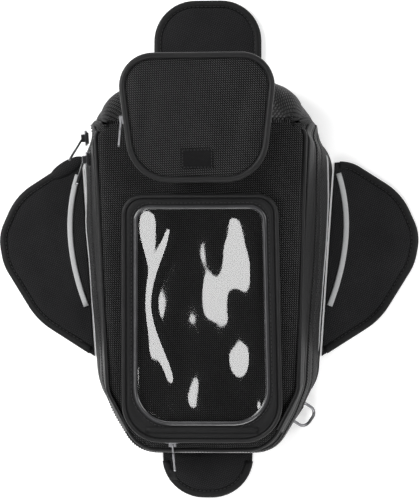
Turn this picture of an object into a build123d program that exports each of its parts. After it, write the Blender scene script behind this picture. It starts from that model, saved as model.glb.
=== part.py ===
from build123d import *
import math
import os

# Motorcycle tank bag. Millimetres, +Z up, +Y towards the front of the motorcycle.
# The bag lies on z = 0, with its four holding flaps spread out flat.

# ---- driving dimensions ----
wall = 3.0                  # padded fabric of the shell
body_bottom = 1.5           # underside of the shell walls
hinge_y = 92.0              # line that the lid folds about
hinge_z = 92.0
lid_slope = 8.5             # degrees that the lid rises towards the front
zip_slope = 5.0             # degrees that the main zip rises towards the front
zip_height = 56.0           # main zip above the ground, at the hinge line
gap = 0.4                   # clearance each side of a parting line
fit = 0.1                   # clearance between trim and the surface it is sewn to

side_x = 97.5               # half width of the side walls at y = 0, z = 0
side_flare = 0.07           # extra half width per millimetre towards the front
side_lean = 0.255           # half width lost per millimetre of height

front_base = (50.0, 140.0)  # corners of the base outline, right half
rear_base = (50.0, -166.0)
shoulder_y = 72.0           # where the front corners begin, at the base
hip_y = -107.0              # where the rear corners begin, at the base

flap_thick = 4.0
flap_binding = 5.0          # height over the bound edge
binding_width = 6.4
hinge_offset = 1.5          # flap hinge line outside the base outline
front_flap_half = 43.5
rear_flap_half = 36.5
flap_tip_y = 203.0
wing_front_y = 69.0         # ends of the wings' hinge seams
wing_rear_y = -89.0

pocket_split = 3.8          # parting line of the window pocket above the lid
pocket_top = 11.4
pouch_floor = 1.2           # underside of the pouch above the lid
pouch_split = 20.2
pouch_top = 30.0

tape = 0.8                  # outer face of a zip tape, from the shell
chain = 1.4                 # how far a zip chain stands off its tape
piping_radius = 1.5
wire_radius = 1.25          # D-ring wire


def side_half(y, z):
    """Half width of the flat side walls at a station and a height."""
    return side_x + side_flare * y - side_lean * z


def lid_z(y):
    """Height of the lid's top face at a station."""
    return hinge_z + (y - hinge_y) * math.tan(math.radians(lid_slope))


def zip_z(y):
    """Height of the main zip at a station."""
    return zip_height + (y - hinge_y) * math.tan(math.radians(zip_slope))


def along_lid(y):
    """Distance along the sloping lid from its hinge line to a station."""
    return (y - hinge_y) / math.cos(math.radians(lid_slope))


# ---- shared planes ----
slope_sin = math.sin(math.radians(lid_slope))
slope_cos = math.cos(math.radians(lid_slope))
base_plane = Plane(origin=(0, 0, body_bottom))
lid_plane = Plane(origin=(0, hinge_y, hinge_z), x_dir=(1, 0, 0), z_dir=(0, -slope_sin, slope_cos))

# ---- outlines, right half listed front to rear, each corner with its radius ----
base_half = [
    front_base,
    (side_half(shoulder_y, body_bottom), shoulder_y),
    (side_half(hip_y, body_bottom), hip_y),
    rear_base,
]
base_radii = [26, 30, 34, 30]
top_half = [
    (72, 0.5),
    (side_half(84, lid_z(84)), along_lid(84)),
    (side_half(-116, lid_z(-116)), along_lid(-116)),
    (50, -256),
]
top_radii = [10, 8, 24, 26]
pocket_half = [(58, -57), (60.5, -247)]
pocket_radii = [14, 28]
window_half = [(48.5, -66), (51, -233)]
window_radii = [10, 26]
pouch_half = [(58.5, 51), (48, -41)]
pouch_radii = [22, 30]


def outline(plane, half, radii, grow=0.0):
    """Symmetric rounded outline on a plane, grown outward by grow."""
    corners = half + [(-x, y) for x, y in reversed(half)]
    with BuildSketch(plane) as shape:
        with BuildLine():
            FilletPolyline(*corners, radius=radii + radii[::-1], close=True)
        make_face()
        if grow:
            offset(amount=grow)
    return shape.sketch


def body_block(grow, lower=0.0, upper=0.0):
    """Body between the base and the lid's top face, grown sideways by grow."""
    with BuildPart() as block:
        bottom = outline(base_plane.offset(lower), base_half, base_radii, grow)
        top = outline(lid_plane.offset(upper), top_half, top_radii, grow)
        loft(sections=[bottom.face(), top.face()], ruled=True)
    return block.part


def above_zip(front, lift):
    """Everything behind a station and above the main zip, lifted by lift."""
    far = -260
    with BuildPart() as region:
        with BuildSketch(Plane.YZ):
            with BuildLine():
                Polyline(
                    (front, zip_z(front) + lift),
                    (front, 200),
                    (far, 200),
                    (far, zip_z(far) + lift),
                    close=True,
                )
            make_face()
        extrude(amount=150, both=True)
    return region.part


def wall_band(inner, outer, low, high, front=hinge_y - 1.0, rear=-200.0):
    """Band round the outside of the walls, between two heights from the main zip."""
    with BuildPart() as band:
        add(body_block(outer))
        add(body_block(inner), mode=Mode.SUBTRACT)
        add(above_zip(front, low), mode=Mode.INTERSECT)
        add(above_zip(front + 50, high), mode=Mode.SUBTRACT)
        with Locations((0, rear - 200, 0)):
            Box(500, 400, 500, mode=Mode.SUBTRACT)
    return band.part


def plate(half, radii, grow, low, high):
    """Solid slab over an outline on the lid plane."""
    with BuildPart() as slab:
        add(outline(lid_plane.offset(low), half, radii, grow))
        extrude(amount=high - low, dir=lid_plane.z_dir)
    return slab.part


def ring(half, radii, inner, outer, low, high, front=200.0):
    """Band that stands on the lid plane round an outline, up to a front station."""
    with BuildPart() as band:
        add(plate(half, radii, outer, low, high))
        add(plate(half, radii, inner, low - 1, high + 1), mode=Mode.SUBTRACT)
        with BuildSketch(lid_plane.offset(low - 1)):
            with Locations((0, front + 100)):
                Rectangle(400, 200)
        extrude(amount=high - low + 2, mode=Mode.SUBTRACT)
    return band.part


def edge_tube(height, half, radii, grow, radius, front=200.0):
    """Round piping along an outline at a height above the lid plane."""
    path = outline(lid_plane.offset(height), half, radii, grow).face().outer_wire()
    with BuildPart() as tube:
        with BuildSketch(Plane(origin=path @ 0, z_dir=path % 0)):
            Circle(radius)
        sweep(path=path)
        with Locations((0, front + 100, 100)):
            Box(400, 200, 400, mode=Mode.SUBTRACT)
    return tube.part


os.makedirs("parts", exist_ok=True)


def save(builder, name):
    """Label one finished piece and write its STEP file."""
    builder.part.label = name
    export_step(builder.part, "parts/" + name + ".step")


# ---- base ----
with BuildPart() as grip_pad:
    add(outline(Plane.XY, base_half, base_radii, -2.0))
    extrude(amount=body_bottom)
save(grip_pad, "underside_grip_pad")

with BuildPart() as base_panel:
    add(outline(base_plane, base_half, base_radii, -wall - 1.8))
    extrude(amount=2.5)
save(base_panel, "base_panel")

with BuildPart() as base_board:
    add(outline(base_plane.offset(2.5), base_half, base_radii, -10.0))
    extrude(amount=2.0)
save(base_board, "base_stiffener_board")

# ---- shell: walls and nose stay with the base, the lid is everything above the zip ----
with BuildPart() as lower_shell:
    add(body_block(0.0))
    add(body_block(-wall, 0.0, -wall), mode=Mode.SUBTRACT)
    add(above_zip(hinge_y + 0.5, -gap), mode=Mode.SUBTRACT)
    with Locations((0, hinge_y, hinge_z + 9)):
        Box(300, 60, 20, mode=Mode.SUBTRACT)
save(lower_shell, "lower_shell")

with BuildPart() as lid_shell:
    add(body_block(0.0))
    add(body_block(-wall, 0.0, -wall), mode=Mode.SUBTRACT)
    add(above_zip(hinge_y - 0.5, gap), mode=Mode.INTERSECT)
save(lid_shell, "lid_shell")

with BuildPart() as lid_piping:
    add(edge_tube(-2.1, top_half, top_radii, 2.2, piping_radius, hinge_y - 7.0))
save(lid_piping, "lid_piping")

# ---- main zip ----
with BuildPart() as lower_tape:
    add(wall_band(fit, tape, -8.0, -gap))
save(lower_tape, "main_zip_lower_tape")

with BuildPart() as upper_tape:
    add(wall_band(fit, tape, gap, 8.0))
save(upper_tape, "main_zip_upper_tape")

with BuildPart() as lower_chain:
    add(wall_band(tape + fit, tape + chain, -1.9, -gap))
save(lower_chain, "main_zip_lower_chain")

with BuildPart() as upper_chain:
    add(wall_band(tape + fit, tape + chain, gap, 1.9))
save(upper_chain, "main_zip_upper_chain")

with BuildPart() as end_tabs:
    add(wall_band(fit, 2.6, -7.0, 7.0, hinge_y + 9.0, hinge_y + 0.8))
save(end_tabs, "zip_end_tabs")

with BuildPart() as side_piping:
    add(wall_band(fit, 1.3, -33.0, -31.0, shoulder_y - 3.0, hip_y + 20.0))
save(side_piping, "side_reflective_piping")

# ---- window pocket on the lid ----
with BuildPart() as pocket_rim:
    add(ring(pocket_half, pocket_radii, -4.0, 0.0, 0.0, pocket_split - 0.2))
save(pocket_rim, "pocket_rim")

with BuildPart() as pocket_lower_chain:
    add(ring(pocket_half, pocket_radii, fit, chain, pocket_split - 1.4, pocket_split - 0.2, -80))
save(pocket_lower_chain, "pocket_zip_lower_chain")

with BuildPart() as window_frame:
    add(plate(pocket_half, pocket_radii, 0.0, pocket_split + 0.2, pocket_top))
    add(plate(pocket_half, pocket_radii, -wall, pocket_split + 0.2, pocket_top - 1.6), mode=Mode.SUBTRACT)
    add(plate(window_half, window_radii, 0.0, pocket_split, pocket_top + 1), mode=Mode.SUBTRACT)
save(window_frame, "window_frame")

with BuildPart() as window_sheet:
    add(plate(window_half, window_radii, 3.0, pocket_top - 2.3, pocket_top - 1.6 - fit))
save(window_sheet, "clear_window")

with BuildPart() as window_binding:
    add(ring(window_half, window_radii, 0.0, 3.0, pocket_top, pocket_top + 0.5))
save(window_binding, "window_edge_binding")

with BuildPart() as window_hem:
    with BuildSketch(lid_plane.offset(pocket_top)):
        with Locations((0, -240)):
            Rectangle(84, 6)
    extrude(amount=0.7)
save(window_hem, "window_hem_band")

with BuildPart() as pocket_piping:
    add(edge_tube(pocket_top - 0.5, pocket_half, pocket_radii, piping_radius + fit, piping_radius))
save(pocket_piping, "pocket_piping")

with BuildPart() as pocket_upper_chain:
    add(ring(pocket_half, pocket_radii, fit, chain, pocket_split + 0.2, pocket_split + 1.4, -80))
save(pocket_upper_chain, "pocket_zip_upper_chain")

# ---- top pouch ----
with BuildPart() as pouch_seam:
    with BuildSketch(lid_plane):
        with Locations((0, -22)):
            Rectangle(74, 32)
    extrude(amount=pouch_floor)
save(pouch_seam, "pouch_seam_strip")

with BuildPart() as pouch_shell:
    add(plate(pouch_half, pouch_radii, 0.0, pouch_floor, pouch_split - 0.2))
    add(plate(pouch_half, pouch_radii, -2.5, pouch_floor + 2.0, pouch_split), mode=Mode.SUBTRACT)
save(pouch_shell, "pouch_shell")

with BuildPart() as pouch_line:
    add(ring(pouch_half, pouch_radii, fit, 0.6, 4.0, 6.0, 40))
save(pouch_line, "pouch_reflective_line")

with BuildPart() as pouch_lower_chain:
    add(ring(pouch_half, pouch_radii, fit, chain, pouch_split - 1.6, pouch_split - 0.2, 34))
save(pouch_lower_chain, "pouch_zip_lower_chain")

with BuildPart() as pouch_cover:
    add(plate(pouch_half, pouch_radii, 0.0, pouch_split + 0.2, pouch_top))
    add(plate(pouch_half, pouch_radii, -2.5, pouch_split, pouch_top - 2.0), mode=Mode.SUBTRACT)
save(pouch_cover, "pouch_cover")

with BuildPart() as pouch_upper_chain:
    add(ring(pouch_half, pouch_radii, fit, chain, pouch_split + 0.2, pouch_split + 1.6, 34))
save(pouch_upper_chain, "pouch_zip_upper_chain")

with BuildPart() as pouch_piping:
    add(edge_tube(pouch_top - 1.5, pouch_half, pouch_radii, 1.8 + fit, 1.8))
save(pouch_piping, "pouch_piping")

with BuildPart() as pouch_label:
    with BuildSketch(lid_plane.offset(pouch_top)):
        with Locations((0, -26)):
            RectangleRounded(24, 15, 1)
    extrude(amount=0.6)
save(pouch_label, "pouch_blank_label")

# ---- zip sliders and pulls ----
crown_height = 1.9          # pull pin above a slider's top plate
crown_y = -0.9              # pull pin's middle, from the parting line
pull_length = 21.0
pin_radius = 0.75
plate_lift = 1.3            # underside of a slider's top plate above the chain
plate_thick = 1.5


def pull_pivot(seat, chain_top):
    """Middle of the pin that a pull turns on."""
    return seat.from_local_coords((0, crown_y, chain_top + plate_lift + plate_thick + crown_height))


def slider(seat, chain_top, low, high):
    """Zip slider. The seat's X runs along the chain and its Z points outward."""
    under = chain_top + plate_lift
    with BuildPart() as body:
        with BuildSketch(seat.offset(under)):
            with Locations((0, (low + high) / 2)):
                RectangleRounded(12, high - low, 1.2)
        extrude(amount=plate_thick)
        with BuildSketch(seat.offset(chain_top - 0.6)):
            with Locations((0, low + 0.5)):
                Rectangle(9, 1.0)
        extrude(amount=1.9)
        with BuildSketch(seat.offset(under + plate_thick)):
            with Locations((0, crown_y)):
                RectangleRounded(6.4, 2.0, 0.6)
        extrude(amount=3.2)
        pin = pull_pivot(seat, chain_top)
        with BuildSketch(Plane(origin=pin, x_dir=seat.x_dir, z_dir=seat.y_dir)):
            Circle(pin_radius + 0.1)
        extrude(amount=5, both=True, mode=Mode.SUBTRACT)
    return body.part


def pull(seat, chain_top, angle):
    """Pull tab turned outward by angle from lying along the chain."""
    lean = math.radians(angle)
    reach = seat.x_dir * math.cos(lean) + seat.z_dir * math.sin(lean)
    tab_plane = Plane(origin=pull_pivot(seat, chain_top), x_dir=reach, z_dir=reach.cross(seat.y_dir))
    with BuildPart() as tab:
        with BuildSketch(Plane(origin=tab_plane.origin, x_dir=tab_plane.x_dir, z_dir=tab_plane.y_dir)):
            Circle(pin_radius)
        extrude(amount=2.3, both=True)
        with BuildSketch(tab_plane.offset(-0.7)):
            with Locations((2.6, 1.8), (2.6, -1.8)):
                Rectangle(6.6, 1.0)
            with Locations((13.2, 0)):
                RectangleRounded(pull_length - 5.4, 5.8, 2.0)
            with Locations((15, 0)):
                SlotOverall(8, 2.4, mode=Mode.SUBTRACT)
        extrude(amount=1.4)
    return tab.part


def side_seat(y):
    """Seat on the left wall at the main zip, X towards the rear and Y up."""
    rise = math.tan(math.radians(zip_slope))
    run = Vector(side_flare - side_lean * rise, -1, -rise).normalized()
    out = Vector(-1, -side_flare, side_lean).normalized()
    return Plane(origin=(-side_half(y, zip_z(y)), y, zip_z(y)), x_dir=run, z_dir=out)


def lid_seat(across, along, height, run_across, run_along):
    """Seat on a wall that stands on the lid, X along the run and Y up."""
    length = math.hypot(run_across, run_along)
    run = (lid_plane.x_dir * run_across + lid_plane.y_dir * run_along) * (1 / length)
    out = (lid_plane.x_dir * run_along - lid_plane.y_dir * run_across) * (1 / length)
    origin = lid_plane.from_local_coords((across, along, height))
    return Plane(origin=origin, x_dir=run, z_dir=out)


main_top = tape + chain
rear_seat = side_seat(68)
front_seat = side_seat(85)
pouch_seat = lid_seat(-53.1, 4, pouch_split, 10.5, -92)
pocket_seat = lid_seat(-24, -247, pocket_split, 1, 0)

with BuildPart() as main_slider_rear:
    add(slider(rear_seat, main_top, -4.6, 1.9))
save(main_slider_rear, "main_slider_rear")

with BuildPart() as main_pull_rear:
    add(pull(rear_seat, main_top, 20))
save(main_pull_rear, "main_pull_rear")

with BuildPart() as main_slider_front:
    add(slider(front_seat, main_top, -4.6, 1.9))
save(main_slider_front, "main_slider_front")

with BuildPart() as main_pull_front:
    add(pull(front_seat, main_top, 35))
save(main_pull_front, "main_pull_front")

with BuildPart() as pouch_slider:
    add(slider(pouch_seat, chain, -4.2, 1.9))
save(pouch_slider, "pouch_slider")

with BuildPart() as pouch_pull:
    add(pull(pouch_seat, chain, 12))
save(pouch_pull, "pouch_pull")

with BuildPart() as pocket_slider:
    add(slider(pocket_seat, chain, -2.6, 1.9))
save(pocket_slider, "pocket_slider")

with BuildPart() as pocket_pull:
    add(pull(pocket_seat, chain, 85))
save(pocket_pull, "pocket_pull")

# ---- D-ring on the rear right corner ----
ring_run = Vector(rear_base[0] - side_half(hip_y, body_bottom), rear_base[1] - hip_y, 0).normalized()
ring_bar = ring_run
ring_out = Vector(-ring_run.Y, ring_run.X, 0)
ring_foot = Vector(70.6, -131.0, 14)
ring_drop = 30.0            # degrees that the ring hangs below level
ring_reach = ring_out * math.cos(math.radians(ring_drop)) - Vector(0, 0, math.sin(math.radians(ring_drop)))
ring_centre = ring_foot + ring_out * 4.2

with BuildPart() as ring_tab:
    with BuildSketch(Plane(origin=ring_foot, x_dir=ring_bar, z_dir=ring_out)):
        Rectangle(11, 6)
    extrude(amount=5.9)
    with BuildSketch(Plane(origin=ring_centre, x_dir=ring_out, z_dir=ring_bar)):
        Circle(wire_radius + 0.1)
    extrude(amount=12, both=True, mode=Mode.SUBTRACT)
    add(body_block(fit), mode=Mode.SUBTRACT)
save(ring_tab, "d_ring_tab")

with BuildPart() as d_ring:
    with BuildLine(Plane(origin=ring_centre, x_dir=ring_bar, z_dir=ring_bar.cross(ring_reach))) as loop:
        FilletPolyline((-8.5, 0), (8.5, 0), (8.5, 14), (-8.5, 14), radius=[1.8, 1.8, 6.5, 6.5], close=True)
    with BuildSketch(Plane(origin=loop.line @ 0, z_dir=loop.line % 0)):
        Circle(wire_radius)
    sweep()
save(d_ring, "d_ring")

# ---- magnetic flaps ----


def wing_shape(extra):
    """Right wing outline, its hinge side moved inward by extra."""
    front = side_half(wing_front_y, 0) + hinge_offset - extra
    rear = side_half(wing_rear_y, 0) + hinge_offset - extra
    with BuildSketch() as shape:
        with BuildLine():
            FilletPolyline(
                (front, wing_front_y),
                (116, wing_front_y + 1),
                (158, 43),
                (172.5, 10),
                (168, -14),
                (140, -59),
                (rear, wing_rear_y),
                radius=[0, 28, 50, 35, 40, 60, 0],
                close=True,
            )
        make_face()
    return shape.sketch


def front_shape(extra):
    """Front flap outline, its hinge side moved inward by extra."""
    root = front_base[1] + hinge_offset - extra
    return outline(Plane.XY, [(front_flap_half, flap_tip_y), (front_flap_half, root)], [33, 0])


def rear_shape(extra):
    """Rear flap outline, its hinge side moved inward by extra."""
    root = rear_base[1] - hinge_offset + extra
    return outline(Plane.XY, [(rear_flap_half, root), (rear_flap_half, -flap_tip_y)], [0, 33])


def inset_block(shape, inset, height):
    """Slab over a flap, inset along its free edge only."""
    with BuildPart() as slab:
        with BuildSketch():
            add(shape(10))
            offset(amount=-inset)
        extrude(amount=height)
        with BuildSketch():
            add(shape(0))
        extrude(amount=height, mode=Mode.INTERSECT)
    return slab.part


def flap(shape, discs):
    """Panel, edge binding and sealed magnets of one flap."""
    with BuildPart() as magnets:
        with Locations(*[(x, y, 2) for x, y in discs]):
            Cylinder(9, 2)
    with BuildPart() as panel:
        add(inset_block(shape, 1.0, flap_thick))
        add(magnets.part, mode=Mode.SUBTRACT)
    with BuildPart() as binding:
        with BuildSketch():
            add(shape(0))
        extrude(amount=flap_binding)
        add(inset_block(shape, binding_width, 20), mode=Mode.SUBTRACT)
        add(inset_block(shape, 1.0, flap_thick), mode=Mode.SUBTRACT)
    return [panel, binding, magnets]


def mirrored(builder):
    """The same piece on the other side of the bag."""
    with BuildPart() as twin:
        mirror(builder.part, about=Plane.YZ)
    return twin


def save_flap(pieces, name):
    """Write the three pieces of one flap."""
    for piece, kind in zip(pieces, ["panel", "binding", "magnets"]):
        save(piece, name + "_" + kind)


right_wing = flap(wing_shape, [(130, 30), (142, -10), (121, -44)])
save_flap(right_wing, "right_wing")
save_flap([mirrored(piece) for piece in right_wing], "left_wing")
save_flap(flap(front_shape, [(-20, 174), (20, 174)]), "front_flap")
save_flap(flap(rear_shape, [(-16, -184), (16, -184)]), "rear_flap")

with BuildPart() as right_ribbon:
    with BuildSketch(Plane.XY.offset(flap_thick)):
        with BuildLine():
            ThreePointArc((107, 60), (115, 5), (99.5, -48))
        trace(line_width=4)
    extrude(amount=0.5)
save(right_ribbon, "right_wing_ribbon")
save(mirrored(right_ribbon), "left_wing_ribbon")

# ---- joint and opening figures for the record ----
for label, seat, top in [
    ("main rear", rear_seat, main_top),
    ("main front", front_seat, main_top),
    ("pouch", pouch_seat, chain),
    ("pocket", pocket_seat, chain),
]:
    print(label, "slide", seat.x_dir, "pull pivot", pull_pivot(seat, top), "axis", seat.y_dir * -1)
print("D-ring pivot", ring_centre, "axis", ring_bar)
print("lid axes", lid_plane.y_dir, lid_plane.z_dir)
for label, point in [("window hinge", (0, pocket_half[0][1], pocket_split)), ("pouch hinge", (0, 51.5, pouch_split))]:
    print(label, lid_plane.from_local_coords(point))
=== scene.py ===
import math
import bmesh
import bpy
from mathutils import Matrix, Vector, noise


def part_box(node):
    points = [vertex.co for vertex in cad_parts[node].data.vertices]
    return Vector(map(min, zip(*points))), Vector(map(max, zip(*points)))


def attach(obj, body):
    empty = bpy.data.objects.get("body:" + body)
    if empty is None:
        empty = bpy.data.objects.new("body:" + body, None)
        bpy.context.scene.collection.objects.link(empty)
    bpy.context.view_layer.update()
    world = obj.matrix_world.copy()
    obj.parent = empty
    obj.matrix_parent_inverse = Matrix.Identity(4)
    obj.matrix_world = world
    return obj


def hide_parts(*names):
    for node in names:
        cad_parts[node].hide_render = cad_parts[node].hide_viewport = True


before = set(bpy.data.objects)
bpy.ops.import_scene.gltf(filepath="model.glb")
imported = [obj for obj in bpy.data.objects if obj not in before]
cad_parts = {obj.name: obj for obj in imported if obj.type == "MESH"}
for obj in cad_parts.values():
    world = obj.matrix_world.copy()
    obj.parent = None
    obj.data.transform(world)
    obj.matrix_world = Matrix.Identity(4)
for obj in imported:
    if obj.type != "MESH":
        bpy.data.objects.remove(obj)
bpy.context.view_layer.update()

MM = 0.001
SIDES = (("right", 1), ("left", -1))

# ---- sizes shared with the solid model, in millimetres ----
HINGE_Y = 92.0
HINGE_Z = 92.0
LID_SLOPE = math.radians(8.5)
ZIP_HEIGHT = 56.0
ZIP_SLOPE = math.radians(5.0)
SIDE_X = 97.5
FLARE = 0.07
LEAN = 0.255
BASE_Z = 1.5
SPLIT_GAP = 0.4
POCKET_SPLIT = 3.8
POCKET_TOP = 11.4
POUCH_FLOOR = 1.2
POUCH_SPLIT = 20.2
POUCH_TOP = 30.0
POUCH_MID = 5.0
FLAP_TOP = 4.0

# ---- thicknesses and radii of the cloth pieces, in millimetres ----
SHELL_THICK = 2.6
POUCH_THICK = 1.6
TAPE_THICK = 0.5
RIBBON_THICK = 0.4
TUBE_SIDES = 10
END_TAPER = 0.3
WALL_STEPS = 14
BAND_STEPS = 4

# ---- how far the stuffed cloth stands out from its flat pattern, in millimetres ----
WALL_FULLNESS = 1.6
WALL_RIPPLE = 1.3
SHOULDER_FULLNESS = 9.0
NOSE_FULLNESS = 2.0
SIDE_FULLNESS = 2.0
REAR_CORNER_FULLNESS = 3.5
POUCH_FULLNESS = 4.2

# ---- cloth patterns: one UV unit is 10 mm of cloth ----
UV_SCALE = 0.1
FLAT_SHARE = 0.75


def side_half(y, z):
    """Half width of the side walls at a station and a height."""
    return SIDE_X + FLARE * y - LEAN * z


def lid_z(y):
    """Height of the lid's plane at a station."""
    return HINGE_Z + (y - HINGE_Y) * math.tan(LID_SLOPE)


def zip_z(y):
    """Height of the main zip at a station."""
    return ZIP_HEIGHT + (y - HINGE_Y) * math.tan(ZIP_SLOPE)


def along_lid(y):
    """Distance down the lid's slope from its hinge to a station."""
    return (y - HINGE_Y) / math.cos(LID_SLOPE)


def on_lid(u, v, w=0.0):
    """Point that lies u across, v along and w above the lid's plane."""
    s, c = math.sin(LID_SLOPE), math.cos(LID_SLOPE)
    return Vector((u, HINGE_Y + v * c - w * s, HINGE_Z + v * s + w * c))


def lid_direction(u, v, w=0.0):
    """Direction given across, along and above the lid's plane."""
    return on_lid(u, v, w) - on_lid(0, 0)


LID_UP = lid_direction(0, 0, 1)

# ---- outlines: corners of the right half from front to rear, or all corners where mirror is False ----
BASE = dict(
    half=[(50, 140), (side_half(72, BASE_Z), 72), (side_half(-107, BASE_Z), -107), (50, -166)],
    radii=[26, 30, 34, 30],
    arc=10,
    line=22,
)
TOP = dict(
    half=[
        (72, 0.5),
        (side_half(84, lid_z(84)), along_lid(84)),
        (side_half(-116, lid_z(-116)), along_lid(-116)),
        (50, -256),
    ],
    radii=[10, 8, 24, 26],
    arc=10,
    line=22,
)
POCKET = dict(half=[(58, -57), (60.5, -247)], radii=[14, 28], arc=12, line=24)
WINDOW = dict(half=[(48.5, -66), (51, -233)], radii=[10, 26], arc=12, line=24)
POUCH = dict(half=[(58.5, 51), (48, -41)], radii=[22, 30], arc=12, line=18)
SHARP = 0.01
FRONT_SEAM = 141.5
REAR_SEAM = -167.5
FRONT_FLAP = dict(half=[(43.5, 203), (43.5, FRONT_SEAM)], radii=[33, SHARP], arc=12, line=16)
REAR_FLAP = dict(half=[(36.5, REAR_SEAM), (36.5, -203)], radii=[SHARP, 33], arc=12, line=16)
WING = dict(
    half=[
        (side_half(69, 0) + 1.5, 69),
        (116, 70),
        (158, 43),
        (172.5, 10),
        (168, -14),
        (140, -59),
        (side_half(-89, 0) + 1.5, -89),
    ],
    radii=[SHARP, 28, 50, 35, 40, 60, SHARP],
    arc=12,
    line=16,
    mirror=False,
)


def rounded(half, radii, arc, line, grow=0.0, mirror=True):
    """Points round a closed outline, with the outward direction at each: (x, y, nx, ny)."""
    points = list(half)
    bends = list(radii)
    if mirror:
        points += [(-x, y) for x, y in reversed(half)]
        bends += radii[::-1]
    count = len(points)
    corners = []
    for i in range(count):
        here = Vector(points[i])
        d1 = (here - Vector(points[i - 1])).normalized()
        d2 = (Vector(points[(i + 1) % count]) - here).normalized()
        n1 = Vector((-d1.y, d1.x))
        n2 = Vector((-d2.y, d2.x))
        reach = bends[i] * math.tan(abs(d1.angle_signed(d2)) / 2)
        start = here - d1 * reach
        corners.append((start, here + d2 * reach, start - n1 * bends[i], n1, n2, bends[i]))
    out = []
    for i, (_, end, centre, n1, n2, bend) in enumerate(corners):
        for k in range(arc):
            normal = n1.slerp(n2, k / arc)
            spot = centre + normal * (bend + grow)
            out.append((spot.x, spot.y, normal.x, normal.y))
        following = corners[(i + 1) % count][0]
        for k in range(line):
            spot = end.lerp(following, k / line) + n2 * grow
            out.append((spot.x, spot.y, n2.x, n2.y))
    return out


def lid_outline(shape, grow, height):
    """An outline on the lid, grown outward and lifted."""
    return [on_lid(u, v, height) for u, v, _, _ in rounded(grow=grow, **shape)]


def unbroken(picked, total):
    """Picked places of a closed ring, in order along their run from the gap."""
    chosen = set(picked)
    first = next(i for i, j in enumerate(picked) if (j - 1) % total not in chosen)
    return picked[first:] + picked[:first]


def spread(low, high, count):
    """Evenly spaced values from low to high, both included."""
    return [low + (high - low) * i / (count - 1) for i in range(count)]


def ramp(value, low, high):
    """0 below low, 1 above high, smooth between."""
    s = min(1.0, max(0.0, (value - low) / (high - low)))
    return s * s * (3 - 2 * s)


def ridge(distance, width):
    """1 on a line, falling smoothly to 0 on both sides of it."""
    return math.exp(-((distance / width) ** 2))


# ---- mesh helpers ----
def link_mesh(name, bm, mat):
    """Make the object of a finished bmesh."""
    mesh = bpy.data.meshes.new(name)
    bm.to_mesh(mesh)
    bm.free()
    mesh.materials.append(mat)
    obj = bpy.data.objects.new(name, mesh)
    bpy.context.scene.collection.objects.link(obj)
    return obj


def finish_mesh(name, bm, mat):
    """Close the mesh's seams, turn its faces outward and shade it smooth."""
    bmesh.ops.remove_doubles(bm, verts=bm.verts, dist=0.02 * MM)
    bmesh.ops.dissolve_degenerate(bm, edges=bm.edges, dist=0.01 * MM)
    bmesh.ops.recalc_face_normals(bm, faces=bm.faces)
    obj = link_mesh(name, bm, mat)
    for poly in obj.data.polygons:
        poly.use_smooth = True
    return obj


def set_uvs(face, layer, spots):
    """Lay a face's corners on the cloth pattern, at spots in millimetres."""
    for loop, (along, across) in zip(face.loops, spots):
        loop[layer].uv = (along * UV_SCALE, across * UV_SCALE)


def grid(name, rows, mat, closed=True, thick=0.0, offset=-1.0):
    """Mesh through rows of points in millimetres, each row as long as the next."""
    bm = bmesh.new()
    layer = bm.loops.layers.uv.new("weave")
    verts = [[bm.verts.new(p * MM) for p in row] for row in rows]
    count = len(rows[0])
    across = [0.0]
    for j in range(count):
        across.append(across[-1] + (rows[0][(j + 1) % count] - rows[0][j]).length)
    down = [0.0]
    middle = count // 3
    for row, following in zip(rows, rows[1:]):
        down.append(down[-1] + (following[middle] - row[middle]).length)
    for i in range(len(rows) - 1):
        for j in range(count if closed else count - 1):
            k = (j + 1) % count
            quad = (verts[i][j], verts[i][k], verts[i + 1][k], verts[i + 1][j])
            face = bm.faces.new(quad)
            tilt = (quad[2].co - quad[0].co).cross(quad[3].co - quad[1].co)
            if abs(tilt.z) > FLAT_SHARE * tilt.length:
                spots = [(corner.co.x / MM, corner.co.y / MM) for corner in quad]
            else:
                near, far = across[j], across[j + 1]
                spots = [(near, down[i]), (far, down[i]), (far, down[i + 1]), (near, down[i + 1])]
            set_uvs(face, layer, spots)
    obj = finish_mesh(name, bm, mat)
    if thick:
        shell = obj.modifiers.new("Thickness", "SOLIDIFY")
        shell.thickness = thick * MM
        shell.offset = offset
        shell.use_even_offset = False
    return obj


def tube(name, path, radius, mat, closed=True):
    """Round tube along points in millimetres, with tapered ends where it is open."""
    count = len(path)
    bm = bmesh.new()
    layer = bm.loops.layers.uv.new("weave")
    verts = []
    for i, spot in enumerate(path):
        before = path[i - 1] if closed or i > 0 else spot
        after = path[(i + 1) % count] if closed or i < count - 1 else spot
        along = (after - before).normalized()
        up = (Vector((0, 0, 1)) - along * along.z).normalized()
        side = along.cross(up)
        at_end = not closed and i in (0, count - 1)
        reach = radius * (END_TAPER if at_end else 1.0)
        row = []
        for k in range(TUBE_SIDES):
            angle = math.tau * k / TUBE_SIDES
            edge = spot + side * (reach * math.cos(angle)) + up * (reach * math.sin(angle))
            row.append(bm.verts.new(edge * MM))
        verts.append(row)
    width = radius * math.tau / TUBE_SIDES
    run = 0.0
    for i in range(count if closed else count - 1):
        following = (i + 1) % count
        end = run + (path[following] - path[i]).length
        for k in range(TUBE_SIDES):
            m = (k + 1) % TUBE_SIDES
            face = bm.faces.new((verts[i][k], verts[following][k], verts[following][m], verts[i][m]))
            low, high = k * width, (k + 1) * width
            set_uvs(face, layer, [(run, low), (end, low), (end, high), (run, high)])
        run = end
    if not closed:
        bm.faces.new(list(reversed(verts[0])))
        bm.faces.new(verts[-1])
    return finish_mesh(name, bm, mat)


BLOCK_CORNERS = [(x, y, z) for z in (-1, 1) for x, y in ((-1, -1), (1, -1), (1, 1), (-1, 1))]
BLOCK_FACES = [(0, 3, 2, 1), (4, 5, 6, 7), (0, 1, 5, 4), (1, 2, 6, 5), (2, 3, 7, 6), (3, 0, 4, 7)]
BLOCK_TAPER = 0.7


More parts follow.
